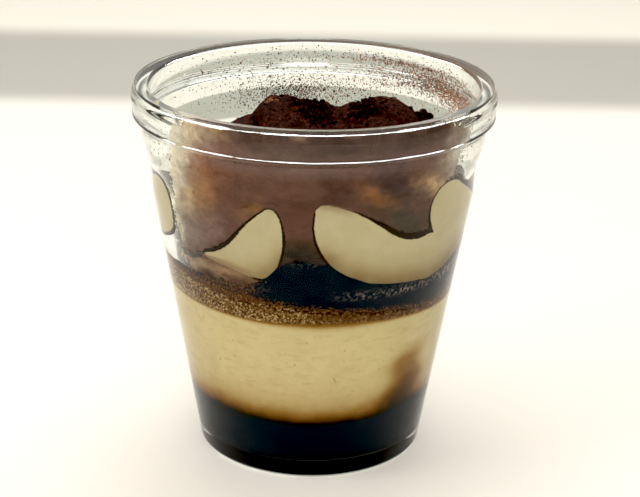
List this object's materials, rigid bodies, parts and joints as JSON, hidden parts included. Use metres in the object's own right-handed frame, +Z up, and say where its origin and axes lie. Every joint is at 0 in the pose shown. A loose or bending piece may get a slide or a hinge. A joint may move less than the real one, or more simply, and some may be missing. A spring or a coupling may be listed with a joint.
{
  "type": "tiramisu in glass cup",
  "caption": "Layered tiramisu in a small tapered clear glass cup with a thick rolled rim: soaked base, deep cream, cocoa band and spooned cream dollops under cocoa.",
  "frame": {"origin": "centre of the cup's standing ring, on the surface that it stands on", "axes": "+Z up along the cup's axis, -Y towards the front, +X to the right seen from the front"},
  "size_m": [0.088, 0.088, 0.0926],
  "materials": {
    "clear_glass": "pressed clear glass, smooth and bright, faintly grey-green where thick",
    "coffee_soaked_biscuit": null,
    "mascarpone_cream": null,
    "cocoa_crumbs": null,
    "cocoa_dusted_cream": null
  },
  "bodies": {
    "root": {"glass_cup": "clear_glass", "coffee_base": "coffee_soaked_biscuit", "cream_lower": "mascarpone_cream", "cocoa_band": "cocoa_crumbs", "coffee_upper": "coffee_soaked_biscuit", "cream_dollop_right": "cocoa_dusted_cream", "cream_dollop_front": "cocoa_dusted_cream", "cream_dollop_left": "cocoa_dusted_cream", "cream_dollop_back_left": "cocoa_dusted_cream", "cream_dollop_back_right": "cocoa_dusted_cream"}
  },
  "joints": []
}
